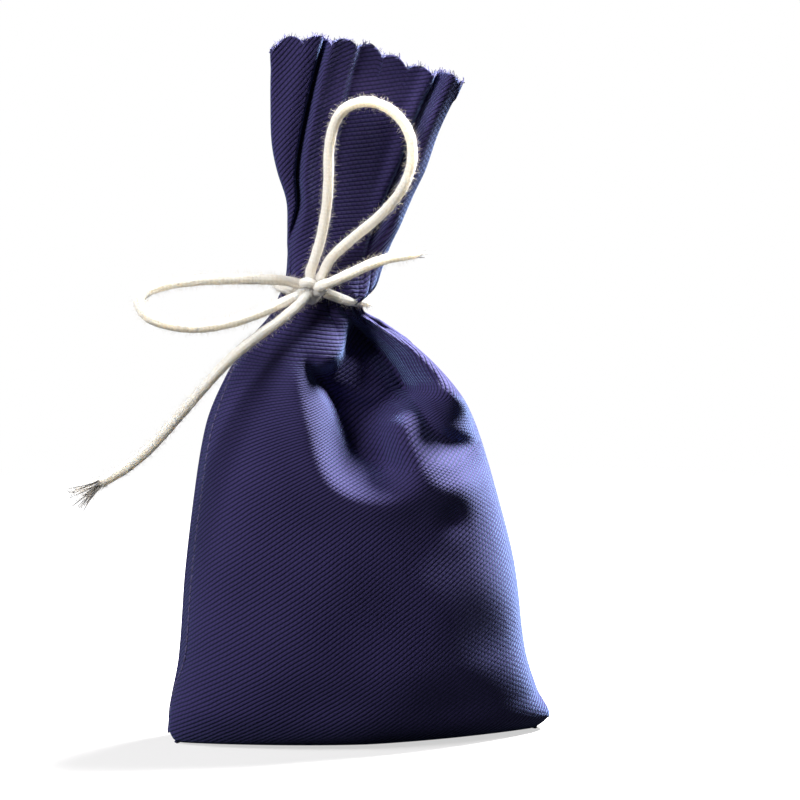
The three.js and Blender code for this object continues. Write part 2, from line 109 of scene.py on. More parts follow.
# Cord
CORD_DIAMETER = 2.6
KNOT = NECK + np.array([-4.5, -10.2, 2.3])
UPRIGHT_LOOP = [
    (-0.2, 0.9, 4.2), (0.9, 1, 7.5), (2.6, 1.2, 13), (4.1, 1.4, 21), (4.6, 1.6, 28.5), (4.8, 1.8, 35.3),
    (6.3, 2, 41.6), (9.3, 2, 45.4), (14.2, 2, 46.8), (19.3, 2, 45.4), (23.4, 2, 41.9), (25.6, 1.9, 37.4),
    (25.9, 1.7, 32), (24.1, 1.6, 26.2), (20.7, 1.4, 21.3), (16, 1.2, 16.8), (10.4, 1, 12.4), (5.2, 0.6, 7.8),
    (2.6, 0.3, 3.4),
]
LEFT_LOOP = [
    (-4, 0.2, 1.6), (-7.5, -0.3, 2.4), (-13.5, -0.8, 2.8), (-21.2, -1.3, 3), (-29, -1.8, 2.9),
    (-36.6, -2.5, 2.1), (-42, -3.8, 0.5), (-44.2, -5.3, -2), (-42.4, -6.7, -5.2), (-37.2, -7.3, -7.4),
    (-29.8, -7.3, -8.3), (-21.9, -6.8, -7.4), (-14.3, -5.3, -5.3), (-8, -3.1, -3), (-3.8, -1.5, -1.4),
]
LEFT_TAIL = [
    (-2.4, -2.2, -2), (-5, -3.5, -4.4), (-9, -4.7, -7.3), (-14.8, -5.8, -11.1), (-20.7, -6.8, -15.5),
    (-26.6, -7.3, -21.3), (-32, -7.8, -27.2), (-37.6, -7.9, -33.4), (-42.8, -7.9, -38.8),
    (-48.6, -7.8, -43.3), (-54.4, -7.8, -46.6),
]
RIGHT_TAIL = [
    (2.4, -2.8, 1.2), (4.8, -3.7, 2.2), (8.2, -3.4, 3.6), (11.6, -2.7, 5), (15, -2, 6.3),
    (18.7, -1.4, 7.4), (21.8, -0.9, 8), (25, -0.4, 8.3), (27.2, -0.1, 8.5), (29.4, 0.3, 8.6),
]
RIGHT_WISP = 4.5  # the last of the right tail thins out
WRAP_START = (4, 1.9, -1.3)
WRAP_END = (-3.6, 2.6, -1.2)
WRAP_TURN = (-68, 215)
WRAP_HALF_WIDTH = 11.6
WRAP_HALF_DEPTH = 8.6
CORD_SIDES = 16
CORD_STEP = 0.6
TUCK = 0.45  # tucked ends go on into the knot up to this share of the way from its middle
STRAND_DIAMETER = 0.62
STRAND_TIP = 0.25  # thickness of a strand's tip, as a share of its root's
STRAND_ROOT = 1.2  # strands start this far back in the cord
STRAND_RING = 0.65  # and this far from its middle
STRAND_STEPS = 16
STRAND_SIDES = 6


# Small maths

def ease(low, high, x):
    """A smooth step from 0 at low to 1 at high."""
    t = np.clip((np.asarray(x, float) - low) / (high - low), 0, 1)
    return t * t * (3 - 2 * t)


def hill(distance, width):
    """1 at no distance, and less and less beyond the width."""
    return np.exp(-(distance / width) ** 2)


def smooth_curve(places, values):
    """A smooth curve through stations, which doesn't overshoot between them."""
    places = np.asarray(places, float)
    plain = np.ndim(values) == 1
    values = np.asarray(values, float).reshape(len(places), -1)
    steps = np.diff(places)[:, None]
    slopes = np.diff(values, axis=0) / steps
    before, after = slopes[:-1], slopes[1:]
    same_way = before * after > 0
    total = np.where(same_way, before + after, 1)
    inner = np.where(same_way, 2 * before * after / total, 0)
    tangents = np.vstack([slopes[:1], inner, slopes[-1:]])

    def at(x):
        x = np.asarray(x, float)
        i = np.clip(np.searchsorted(places, x) - 1, 0, len(places) - 2)
        step = steps[i]
        t = np.clip((x - places[i]) / (places[i + 1] - places[i]), 0, 1)[..., None]
        bend = t * (1 - t) * step * ((1 - t) * (tangents[i] - slopes[i]) - t * (tangents[i + 1] - slopes[i]))
        curve = values[i] + t * (values[i + 1] - values[i]) + bend
        return curve[..., 0] if plain else curve

    return at


def through_points(points, step):
    """A rounded path through given points, as points that lie a step apart."""
    points = np.asarray(points, float)
    padded = np.vstack([2 * points[0] - points[1], points, 2 * points[-1] - points[-2]])
    t = np.linspace(0, 1, 24, endpoint=False)[:, None]
    pieces = []
    for a, b, c, d in zip(padded, padded[1:], padded[2:], padded[3:]):
        pieces.append(b + t * (c - a) / 2 + t ** 2 * (a - 2.5 * b + 2 * c - d / 2)
                      + t ** 3 * (1.5 * (b - c) + (d - a) / 2))
    fine = np.vstack(pieces + [points[-1:]])
    along = np.concatenate([[0], np.cumsum(np.linalg.norm(np.diff(fine, axis=0), axis=1))])
    places = np.linspace(0, along[-1], max(int(along[-1] / step), 3) + 1)
    return np.column_stack([np.interp(places, along, fine[:, k]) for k in range(fine.shape[1])])


def beside_line(line, x, z):
    """How far points lie from a line in the front view, positive on its left hand, and how far along it."""
    path = through_points(line, 1)
    starts, runs = path[:-1], np.diff(path, axis=0)
    place = np.stack([x, z], axis=-1)[..., None, :] - starts
    share = np.clip((place * runs).sum(-1) / (runs ** 2).sum(-1), 0, 1)
    offset = place - share[..., None] * runs
    far = np.linalg.norm(offset, axis=-1)
    nearest = far.argmin(-1)[..., None]
    side = np.sign(runs[:, 0] * place[..., 1] - runs[:, 1] * place[..., 0])
    signed = np.take_along_axis(far * side, nearest, -1)[..., 0]
    weight = np.exp(far.min(-1, keepdims=True) - far)
    along = (weight * (np.arange(len(starts)) + share)).sum(-1) / weight.sum(-1) / len(starts)
    return signed, along


# Materials

class Wire:
    """A socket of a node tree. Arithmetic on it adds Math nodes, and node() adds any other node."""

    def __init__(self, tree, socket=None):
        self.tree = tree
        self.socket = socket

    def node(self, kind, inputs=None, output=0, **settings):
        node = self.tree.nodes.new(kind)
        for name, value in settings.items():
            setattr(node, name, value)
        set_inputs(node, inputs or {})
        return Wire(self.tree, node.outputs[output] if len(node.outputs) else None)

    def out(self, name):
        """Another output of the node that this wire comes from."""
        return Wire(self.tree, self.socket.node.outputs[name])

    def math(self, operation, *others):
        """A Math node with this wire as its first value."""
        return self.node("ShaderNodeMath", dict(enumerate((self, *others))), operation=operation)

    def math_from(self, first, operation):
        """A Math node with this wire as its second value."""
        return self.node("ShaderNodeMath", {0: first, 1: self}, operation=operation)

    def __add__(self, other):
        return self.math("ADD", other)

    def __sub__(self, other):
        return self.math("SUBTRACT", other)

    def __rsub__(self, other):
        return self.math_from(other, "SUBTRACT")

    def __mul__(self, other):
        return self.math("MULTIPLY", other)

    def __truediv__(self, other):
        return self.math("DIVIDE", other)

    def __rtruediv__(self, other):
        return self.math_from(other, "DIVIDE")

    __radd__ = __add__
    __rmul__ = __mul__

    def between(self, low, high):
        """Goes smoothly from 0 at low to 1 at high."""
        return self.node("ShaderNodeMapRange", {"Value": self, "From Min": low, "From Max": high},
                         interpolation_type="SMOOTHSTEP")

    def mixed(self, first, second):
        """A colour that goes from the first to the second as this value goes from 0 to 1."""
        # The colour sockets of a Mix node are its seventh and eighth inputs and its third output
        return self.node("ShaderNodeMix", {0: self, 6: first, 7: second}, output=2, data_type="RGBA")

    def split(self):
        """The x part of a vector; out() leads to the others."""
        return self.node("ShaderNodeSeparateXYZ", {"Vector": self})


def rgb(red, green, blue):
    """A colour written as it looks on a screen, 0 to 255, in the shader's own terms."""
    shares = [value / 255 for value in (red, green, blue)]
    linear = [s / 12.92 if s <= 0.04045 else ((s + 0.055) / 1.055) ** 2.4 for s in shares]
    return (*linear, 1)


def empty_nodes(owner):
    """Clears the nodes of a material or a world; returns a wire to add nodes with."""
    owner.use_nodes = True
    owner.node_tree.nodes.clear()
    return Wire(owner.node_tree)


def new_material(name, look):
    """A material whose Principled shader has the inputs that the look gives it."""
    material = bpy.data.materials.new(name)
    start = empty_nodes(material)
    shader = start.node("ShaderNodeBsdfPrincipled", look(start))
    start.node("ShaderNodeOutputMaterial", {"Surface": shader})
    return material


def set_inputs(node, values):
    """Sets a node's inputs: a wire is linked to its input, and anything else is a constant."""
    for name, value in values.items():
        if isinstance(value, Wire):
            value.tree.links.new(value.socket, node.inputs[name])
        else:
            node.inputs[name].default_value = value


def object_place(start):
    """Where a point lies in its object's own space, in metres."""
    return start.node("ShaderNodeTexCoord").out("Object")


def noise(start, place, scale, detail=2, roughness=0.5):
    return start.node("ShaderNodeTexNoise", {
        "Vector": place, "Scale": scale, "Detail": detail, "Roughness": roughness})


def bump(start, height, distance, strength=1.0):
    return start.node("ShaderNodeBump", {"Height": height, "Distance": distance, "Strength": strength})


TWILL_ANGLE = math.radians(35.5)
TWILL_PITCH = 1.03
YARN_STITCH = 1.3
BRAID_STRANDS = 5  # crossings round the cord
BRAID_PITCH = 2.1


def navy_twill(start):
    """Cotton twill: slanting ribs of fine yarn, on the cloth's own flat coordinates in millimetres."""
    flat = start.node("ShaderNodeUVMap", uv_map="flat_cloth")
    across = flat.split()
    along = across.out("Y")
    wander = noise(start, flat, 0.09, 2) - 0.5
    rib_place = (along * math.cos(TWILL_ANGLE) - across * math.sin(TWILL_ANGLE)) / TWILL_PITCH + wander * 0.7
    run = (across * math.cos(TWILL_ANGLE) + along * math.sin(TWILL_ANGLE)) / YARN_STITCH
    in_rib = rib_place.math("FRACT")
    rib = in_rib * (1 - in_rib) * 4
    stagger = (run + rib_place.math("FLOOR") * 0.37).math("FRACT")
    stitch = stagger * (1 - stagger) * 4
    yarn = noise(start, flat, 2.6, 3, 0.7)
    patches = noise(start, flat, 0.05, 2)
    # The rib relief also goes into the base colour below: painted shade in the grooves between the ribs and
    # at the yarn crossings, beside the yarn's own random tone.
    relief = rib.between(0.15, 0.95) * (0.62 + stitch * 0.38)
    painted_shade_and_tone = relief * 0.8 + yarn * 0.35 + patches * 0.2 - 0.18
    # groove is the crown's navy darkened by painted shade, for the hollows between the ribs
    groove = rgb(29, 23, 52)
    crown = rgb(57, 47, 97)
    fibre = noise(start, flat, 7.0, 2, 0.8)
    return {
        "Base Color": painted_shade_and_tone.between(0.0, 1.0).mixed(groove, crown),
        "Roughness": 0.66 + yarn * 0.2,
        "Specular IOR Level": 0.25,
        "Specular Tint": (0.55, 0.68, 1, 1),
        "Sheen Weight": 0.36,
        "Sheen Roughness": 0.45,
        "Sheen Tint": (0.33, 0.53, 1, 1),
        "Normal": bump(start, relief + fibre * 0.25, 0.22 * MM, 0.95),
    }


def seam_thread(start):
    place = object_place(start)
    strands = noise(start, place, 2600, 2)
    return {
        "Base Color": strands.between(0.3, 0.7).mixed(rgb(38, 33, 70), rgb(86, 80, 130)),
        "Roughness": 0.55 + strands * 0.2,
        "Sheen Weight": 0.3,
        "Normal": bump(start, strands, 0.1 * MM, 0.6),
    }


def cream_cotton(start):
    """Braided cotton cord, on its own coordinates: turns round the cord and millimetres along it."""
    place = start.node("ShaderNodeUVMap", uv_map="cord")
    around = place.split()
    along = around.out("Y")
    crossing = around * (BRAID_STRANDS * 2 * math.pi)
    climb = along * (2 * math.pi / BRAID_PITCH)
    braid = (crossing + climb).math("SINE") * (crossing - climb).math("SINE") * 0.5 + 0.5
    spot = object_place(start)
    fibre = noise(start, spot, 1500, 4, 0.75)
    soil = noise(start, spot, 90, 2)
    # The braid lightens the base colour on its crossings and darkens it between them: painted shade, beside
    # the random tone of fibre and soil.
    painted_shade_and_tone = braid * 0.16 + fibre * 0.5 + soil * 0.35
    return {
        "Base Color": painted_shade_and_tone.between(0.2, 0.75).mixed(rgb(240, 228, 212), rgb(250, 243, 232)),
        "Roughness": 0.82 + fibre * 0.12,
        "Specular IOR Level": 0.2,
        "Sheen Weight": 0.3,
        "Sheen Roughness": 0.5,
        "Subsurface Weight": 1,
        "Subsurface Radius": (3.6 * MM, 3.3 * MM, 2.9 * MM),
        "Subsurface Scale": 1,
        "Normal": bump(start, braid * 0.4 + fibre * 0.9, 0.3 * MM, 0.8),
    }


def cotton_fuzz(start):
    place = object_place(start)
    tint = noise(start, place, 700, 1)
    return {
        "Base Color": tint.between(0.3, 0.7).mixed(rgb(235, 226, 210), rgb(252, 250, 243)),
        "Roughness": 0.9,
        "Specular IOR Level": 0.1,
    }


def twill_fray(start):
    place = object_place(start)
    tint = noise(start, place, 500, 1)
    return {
        "Base Color": tint.between(0.35, 0.65).mixed(rgb(45, 40, 84), rgb(118, 118, 178)),
        "Roughness": 0.8,
        "Sheen Weight": 0.2,
    }


def dried_lavender(start):
    place = object_place(start)
    patches = noise(start, place, 160, 2)
    grain = noise(start, place, 2200, 3, 0.7)
    tint = (patches * 0.8 + grain * 0.3).between(0.3, 0.75)
    return {
        "Base Color": tint.mixed(rgb(92, 84, 122), rgb(176, 160, 138)),
        "Roughness": 0.88,
        "Specular IOR Level": 0.2,
        "Normal": bump(start, grain, 0.2 * MM, 0.7),
    }


# Meshes

def put_in_scene(name, data):
    obj = bpy.data.objects.new(name, data)
    bpy.context.scene.collection.objects.link(obj)
    return obj


def twin(obj):
    """A copy of an object, with a mesh of its own."""
    return put_in_scene(obj.name, obj.data.copy())


def add_object(name, points, faces, materials, uv_name=None, uv=None):
    """A smooth mesh object from points in millimetres, with one flat coordinate for each point."""
    mesh = bpy.data.meshes.new(name)
    mesh.from_pydata((np.asarray(points) * MM).tolist(), [], np.asarray(faces).tolist())
    mesh.polygons.foreach_set("use_smooth", np.ones(len(mesh.polygons), bool))
    for material in materials:
        mesh.materials.append(material)
    if uv is not None:
        layer = mesh.uv_layers.new(name=uv_name)
        corners = np.empty(len(mesh.loops), int)
        mesh.loops.foreach_get("vertex_index", corners)
        layer.data.foreach_set("uv", np.asarray(uv)[corners].ravel())
    return put_in_scene(name, mesh)


def bake_modifiers(obj):
    """Turns an object's modifiers into its plain mesh."""
    bpy.context.view_layer.update()
    evaluated = obj.evaluated_get(bpy.context.evaluated_depsgraph_get())
    mesh = bpy.data.meshes.new_from_object(evaluated)
    obj.modifiers.clear()
    old = obj.data
    obj.data = mesh
    bpy.data.meshes.remove(old)
    mesh.name = obj.name
    return obj


def join(name, *objects):
    """Joins objects into the first, which gets the name."""
    bpy.ops.object.select_all(action="DESELECT")
    for obj in objects:
        obj.select_set(True)
    bpy.context.view_layer.objects.active = objects[0]
    bpy.ops.object.join()
    objects[0].name = name
    objects[0].data.name = name
    return objects[0]


def grid_faces(rows, columns, flipped):
    i, j = np.meshgrid(np.arange(rows - 1), np.arange(columns - 1), indexing="ij")
    a = (i * columns + j).ravel()
    quads = np.column_stack([a, a + 1, a + columns + 1, a + columns])
    return quads[:, ::-1] if flipped else quads


def tube_mesh(path, radii, sides):
    """Rings of points along a path, their faces, and turns round and millimetres along for each point."""
    tangents = np.gradient(path, axis=0)
    tangents /= np.linalg.norm(tangents, axis=1)[:, None]
    normal = np.cross(tangents[0], (0.31, 0.87, 0.38))
    rings = []
    angles = np.linspace(0, 2 * np.pi, sides + 1)
    for centre, tangent, radius in zip(path, tangents, radii):
        normal = normal - tangent * (normal @ tangent)
        normal /= np.linalg.norm(normal)
        other = np.cross(tangent, normal)
        rings.append(centre + radius * (np.outer(np.cos(angles), normal) + np.outer(np.sin(angles), other)))
    along = np.concatenate([[0], np.cumsum(np.linalg.norm(np.diff(path, axis=0), axis=1))])
    uv = np.stack([np.broadcast_to(angles / (2 * np.pi), (len(path), sides + 1)),
                   np.broadcast_to(along[:, None], (len(path), sides + 1))], axis=-1)
    points = np.vstack(rings)
    faces = grid_faces(len(path), sides + 1, False)
    return points, faces, uv.reshape(-1, 2)


def merge_doubles(obj, distance=1e-7):
    """Merges points that lie together and closes what is still open, with all faces outward."""
    work = bmesh.new()
    work.from_mesh(obj.data)
    bmesh.ops.remove_doubles(work, verts=work.verts, dist=distance)
    holes = [edge for edge in work.edges if edge.is_boundary]
    if holes:
        bmesh.ops.holes_fill(work, edges=holes)
    bmesh.ops.recalc_face_normals(work, faces=work.faces)
    work.to_mesh(obj.data)
    work.free()


def cord_tube(name, path, material, thinned=0):
    """A stretch of cord, a little uneven as cotton is, which may thin out at its far end."""
    along = np.arange(len(path)) * CORD_STEP
    radii = CORD_DIAMETER / 2 * (1 + 0.025 * np.sin(along * 0.9) + 0.02 * np.sin(along * 2.3 + 1))
    if thinned:
        radii = radii * (0.22 + 0.78 * ease(0, thinned, along[-1] - along))
    points, faces, uv = tube_mesh(path, radii, CORD_SIDES)
    obj = add_object(name, points, faces, [material], "cord", uv)
    merge_doubles(obj)
    return obj


def stand_in(piece, node, body):
    """Shows a piece in place of a CAD node and the body that it moves with."""
    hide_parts(node)
    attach(piece, body)


# Node trees that scatter small pieces

def scatter_tree(name, *inputs):
    """An empty geometry tree with named inputs: a wire to add nodes with, and the inputs as wires."""
    kinds = {"Seed": "NodeSocketInt", "Material": "NodeSocketMaterial"}
    tree = bpy.data.node_groups.new(name, "GeometryNodeTree")
    tree.interface.new_socket("Geometry", in_out="INPUT", socket_type="NodeSocketGeometry")
    for label in inputs:
        kind = kinds.get(label, "NodeSocketFloat")
        tree.interface.new_socket(label, in_out="INPUT", socket_type=kind)
    tree.interface.new_socket("Geometry", in_out="OUTPUT", socket_type="NodeSocketGeometry")
    group = tree.nodes.new("NodeGroupInput")
    wires = {socket.name: Wire(tree, socket) for socket in group.outputs if socket.name}
    return Wire(tree), wires


def place_copies(points, piece, turn, size, material):
    """Ends a tree with real copies of a piece at the points, in their material; returns the tree."""
    copies = points.node("GeometryNodeInstanceOnPoints", {
        "Points": points, "Instance": piece, "Rotation": turn, "Scale": size})
    real = points.node("GeometryNodeRealizeInstances", {"Geometry": copies})
    dressed = points.node("GeometryNodeSetMaterial", {"Geometry": real, "Material": material})
    points.node("NodeGroupOutput", {0: dressed})
    return points.tree


def run_tree(obj, tree, values):
    """Runs a tree on an object and leaves the result as the object's plain mesh."""
    modifier = obj.modifiers.new(tree.name, "NODES")
    modifier.node_group = tree
    for item in tree.interface.items_tree:
        if item.in_out == "INPUT" and item.name in values:
            modifier[item.identifier] = values[item.name]
    return bake_modifiers(obj)


def random_between(start, low, high, seed):
    """A random number for each instance."""
    # A Random Value node's sockets for plain numbers are its third and fourth inputs and its second output
    return start.node("FunctionNodeRandomValue", {2: low, 3: high, "Seed": seed}, output=1, data_type="FLOAT")


def random_turn(start, reach, seed):
    """A random turn for each instance, up to a reach about each axis, in radians."""
    return start.node("FunctionNodeRandomValue", {0: [-r for r in reach], 1: list(reach), "Seed": seed},
                      data_type="FLOAT_VECTOR")


def spun(points, reach, seed):
    """The way that each point on a surface faces, with a random turn added to it."""
    turn = points.node("FunctionNodeEulerToRotation", {"Euler": random_turn(points, reach, seed)})
    return points.node("FunctionNodeRotateRotation", {
        "Rotation": points.out("Rotation"), "Rotate By": turn}, rotation_space="LOCAL")


def bent_fibre(start, sizes, sides, tip, sway, sunk):
    """A thin cone that bows to one side, with its root sunk by a share of its length."""
    cone = start.node("GeometryNodeMeshCone", {
        "Vertices": sides, "Side Segments": 3, "Radius Top": sizes["Radius"] * tip,
        "Radius Bottom": sizes["Radius"], "Depth": sizes["Length"]})
    place = start.node("GeometryNodeInputPosition")
    height = place.split().out("Z")
    bend = start.node("ShaderNodeCombineXYZ", {
        "X": height * height / sizes["Length"] * sway, "Z": sizes["Length"] * -sunk})
    return start.node("GeometryNodeSetPosition", {"Geometry": cone, "Offset": bend})


def hair_tree():
    """Short bent fibres that stand out of a surface."""
    start, sizes = scatter_tree("cotton_fibres", "Density", "Length", "Radius", "Seed", "Material")
    points = start.node("GeometryNodeDistributePointsOnFaces", {
        "Mesh": sizes["Geometry"], "Density": sizes["Density"], "Seed": sizes["Seed"]})
    fibre = bent_fibre(start, sizes, sides=3, tip=0.35, sway=0.55, sunk=0)
    leaning = spun(points, (1.0, 1.0, 3.1), 11)
    size = random_between(start, 0.35, 1.0, 12)
    return place_copies(points, fibre, leaning, size, sizes["Material"])


def points_along(start, sizes):
    """Points that lie a spacing apart along a path of edges."""
    curve = start.node("GeometryNodeMeshToCurve", {"Mesh": sizes["Geometry"]})
    return start.node("GeometryNodeCurveToPoints", {
        "Curve": curve, "Length": sizes["Spacing"]}, mode="LENGTH")


def stitch_tree():
    """Small sewn stitches along a path of edges."""
    start, sizes = scatter_tree("seam_stitches", "Spacing", "Stitch Length", "Thread Radius", "Material")
    points = points_along(start, sizes)
    bead = start.node("GeometryNodeMeshUVSphere", {
        "Segments": 8, "Rings": 8, "Radius": sizes["Thread Radius"]})
    longer = sizes["Stitch Length"] / (sizes["Thread Radius"] * 2)
    stretch = start.node("ShaderNodeCombineXYZ", {"X": 1.0, "Y": 1.0, "Z": longer})
    return place_copies(points, bead, points.out("Rotation"), stretch, sizes["Material"])


def fray_tree():
    """Loose yarn ends along a cut edge."""
    start, sizes = scatter_tree("frayed_edge", "Spacing", "Length", "Radius", "Seed", "Material")
    points = points_along(start, sizes)
    yarn = bent_fibre(start, sizes, sides=4, tip=0.5, sway=0.5, sunk=0.25)
    lean = random_turn(start, (0.7, 0.8, 3.1), sizes["Seed"])
    size = random_between(start, 0.25, 1.0, 5)
    return place_copies(points, yarn, lean, size, sizes["Material"])


BUD_DENSITY = 90000.0  # the most buds on a square metre
BUD_TAPER = 0.3


def bud_tree():
    """Dried buds that lie at random all over a surface."""
    start, sizes = scatter_tree("heap_of_buds", "Spacing", "Length", "Radius", "Seed", "Material")
    points = start.node("GeometryNodeDistributePointsOnFaces", {
        "Mesh": sizes["Geometry"], "Distance Min": sizes["Spacing"], "Density Max": BUD_DENSITY,
        "Seed": sizes["Seed"]}, distribute_method="POISSON")
    bead = start.node("GeometryNodeMeshUVSphere", {"Segments": 8, "Rings": 6, "Radius": sizes["Radius"]})
    place = start.node("GeometryNodeInputPosition")
    narrow = place.split() / sizes["Radius"] * -BUD_TAPER
    taper = start.node("ShaderNodeVectorMath", {"Vector": place, "Scale": narrow}, operation="SCALE")
    bud = start.node("GeometryNodeSetPosition", {"Geometry": bead, "Offset": taper})
    stretch = start.node("ShaderNodeCombineXYZ", {
        "X": sizes["Length"] / (sizes["Radius"] * 2), "Y": 1.0, "Z": 1.0})
    lying = spun(points, (0, 0, 3.1), 3)
    return place_copies(points, bud, lying, stretch, sizes["Material"])


# Camera, light and floor

# Soft square lamps that shine at the middle of the object: azimuth, elevation, distance, size, watts, colour
LAMP_MIDDLE = (0, 0, 80)
LAMPS = {
    "key_right": (109, 55, 900, 300, 76, (1, 0.98, 0.96)),
    "fill_left": (-63, 33, 1100, 500, 15.5, (1, 0.98, 0.97)),
}
WORLD_GLOW = 0.03  # the world lights the object faintly, and is white to the camera
WHITE = (1, 1, 1, 1)
FLOOR_REACH = 3000
FLOOR_SEEN = (0.86, 0.86, 0.87, 1)
FLOOR_BOUNCE = (0.02, 0.02, 0.02, 1)  # what the floor throws back at the object
FLOOR_WASH = 0.6  # how far the floor beside the object is bleached to white
FLOOR_FADE = (120, 450)  # distances between which it gets wholly white


def face_object(obj, azimuth, elevation, distance, middle):
    """Places a camera or a lamp so that it looks at a point from a direction given in degrees."""
    a, e = math.radians(azimuth), math.radians(elevation)
    right = Vector((math.cos(a), math.sin(a), 0))
    back = Vector((math.sin(a) * math.cos(e), -math.cos(a) * math.cos(e), math.sin(e)))
    turn = Matrix((right, back.cross(right), back)).transposed().to_4x4()
    obj.matrix_world = Matrix.Translation((Vector(middle) + back * distance) * MM) @ turn


def place_camera():
    camera = put_in_scene("camera", bpy.data.cameras.new("camera"))
    face_object(camera, CAMERA_AZIMUTH, CAMERA_ELEVATION, CAMERA_DISTANCE, VIEW_MIDDLE)
    camera.data.sensor_width = SENSOR
    camera.data.lens = SENSOR * CAMERA_DISTANCE / VIEW_WIDTH
    camera.data.clip_end = 20
    bpy.context.scene.camera = camera


def light_studio():
    for name, (azimuth, elevation, distance, size, power, colour) in LAMPS.items():
        lamp = put_in_scene(name, bpy.data.lights.new(name, "AREA"))
        face_object(lamp, azimuth, elevation, distance, LAMP_MIDDLE)
        lamp.data.size = size * MM
        lamp.data.energy = power
        lamp.data.color = colour
    world = bpy.data.worlds.new("studio")
    start = empty_nodes(world)
    seen = start.node("ShaderNodeLightPath").out("Is Camera Ray")
    strength = WORLD_GLOW + seen * (1 - WORLD_GLOW)
    glow = start.node("ShaderNodeBackground", {"Color": WHITE, "Strength": strength})
    start.node("ShaderNodeOutputWorld", {"Surface": glow})
    bpy.context.scene.world = world


def lay_floor():
    """A pale floor that looks white to the camera but still takes the object's shadow."""
    corners = [(FLOOR_REACH * x, FLOOR_REACH * y, 0) for x, y in ((-1, -1), (1, -1), (1, 1), (-1, 1))]
    floor = add_object("floor", corners, [(0, 1, 2, 3)], [])
    material = bpy.data.materials.new("pale_floor")
    start = empty_nodes(material)
    seen = start.node("ShaderNodeLightPath").out("Is Camera Ray")
    place = object_place(start)
    distance = start.node("ShaderNodeVectorMath", {0: place}, operation="LENGTH").out("Value")
    away = distance.between(FLOOR_FADE[0] * MM, FLOOR_FADE[1] * MM)
    matte = start.node("ShaderNodeBsdfDiffuse", {"Color": seen.mixed(FLOOR_BOUNCE, FLOOR_SEEN)})
    white = start.node("ShaderNodeEmission", {"Color": WHITE, "Strength": 1.0})
    wash = seen * (FLOOR_WASH + away * (1 - FLOOR_WASH))
    mixed = start.node("ShaderNodeMixShader", {0: wash, 1: matte, 2: white})
    start.node("ShaderNodeOutputMaterial", {"Surface": mixed})
    floor.data.materials.append(material)


# Cord pieces

def from_knot(route):
    return np.asarray(route, float) + KNOT


def cord_path(route, tucked_ends):
    """A cord's path from its given route; its start, or both ends, go on into the knot."""
    points = from_knot(route)
    inner = KNOT + (points[[0, -1]] - KNOT) * TUCK
    return through_points(np.vstack([inner[:1], points, inner[1:tucked_ends]]), CORD_STEP)


FUZZ = {"Density": 3.2e6, "Length": 1.5 * MM, "Radius": 0.03 * MM}


def add_fuzz(cord, seed, looks):
    """Cotton fibres that stand out of a cord, joined to it."""
    fuzz = run_tree(twin(cord), looks["hair_tree"], {**FUZZ, "Seed": seed, "Material": looks["fuzz"]})
    return join(cord.name, cord, fuzz)


def free_cord(name, route, far_end, thinned, body, seed, looks):
    """A loop or tail of the bow; returns it, its path and its length in metres."""
    path = cord_path(route, tucked_ends=2 if far_end == "object" else 1)
    cord = add_fuzz(cord_tube(name, path, looks["cotton"], thinned), seed, looks)
    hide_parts(body)
    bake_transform(cord)
    length = np.linalg.norm(np.diff(path, axis=0), axis=1).sum() * MM
    return cord, path, length


def loose_strands(name, route, looks, seed, length, count, spread):
    """The cord's loosened end: wavy strands that fan out from the cut."""
    rng = np.random.default_rng(seed)
    ends = from_knot(route)[-2:]
    forward = ends[1] - ends[0]
    forward /= np.linalg.norm(forward)
    side = np.cross(forward, (0, -1, 0))
    side /= np.linalg.norm(side)
    lift = np.cross(side, forward)
    t = np.linspace(0, 1, STRAND_STEPS)[:, None]
    radii = STRAND_DIAMETER / 2 * np.linspace(1, STRAND_TIP, STRAND_STEPS)
    all_points, all_faces, all_uv = [], [], []
    for k in range(count):
        angle = 2 * np.pi * k / count + rng.uniform(-0.3, 0.3)
        out = side * math.cos(angle) + 0.6 * lift * math.sin(angle)
        reach = STRAND_ROOT + length * rng.uniform(0.55, 1)
        fan = spread * rng.uniform(0.4, 1)
        curl = rng.uniform(-0.5, 0.5)
        path = (ends[1] - forward * STRAND_ROOT + out * STRAND_RING + forward * reach * t
                + out * fan * t ** 1.7 + np.cross(forward, out) * curl * np.sin(5 * t) * t)
        points, faces, uv = tube_mesh(path, radii, STRAND_SIDES)
        all_points.append(points)
        all_faces.append(faces + k * len(points))
        all_uv.append(uv)
    obj = add_object(name, np.vstack(all_points), np.vstack(all_faces), [looks["cotton"]],
                     "cord", np.vstack(all_uv))
    merge_doubles(obj)
    return add_fuzz(obj, seed, looks)


def tie_knot(looks):
    """The bow's knot: the cord crosses over and under itself in a tight overhand turn."""
    t = np.linspace(0, 2 * np.pi, 120)
    turn = np.column_stack([
        np.sin(t) + 2 * np.sin(2 * t),
        -1.15 * np.sin(3 * t),
        0.86 * (np.cos(t) - 2 * np.cos(2 * t)),
    ])
    points, faces, uv = tube_mesh(KNOT + turn, np.full(len(t), CORD_DIAMETER / 2), CORD_SIDES)
    knot = add_object("bow_knot_cord", points, faces, [looks["cotton"]], "cord", uv)
    merge_doubles(knot, 0.05 * MM)
    stand_in(add_fuzz(knot, 31, looks), "bow_knot", "pouch")


def neck_to_object(points):
    """Turns points of the neck's frame, which leans with the frill, into the object's frame."""
    points = np.asarray(points, float)
    lean_cos, lean_sin = math.cos(FRILL_LEAN), math.sin(FRILL_LEAN)
    x, y, z = points[..., 0], points[..., 1], points[..., 2]
    return NECK + np.stack([x * lean_cos + z * lean_sin, y, z * lean_cos - x * lean_sin], axis=-1)


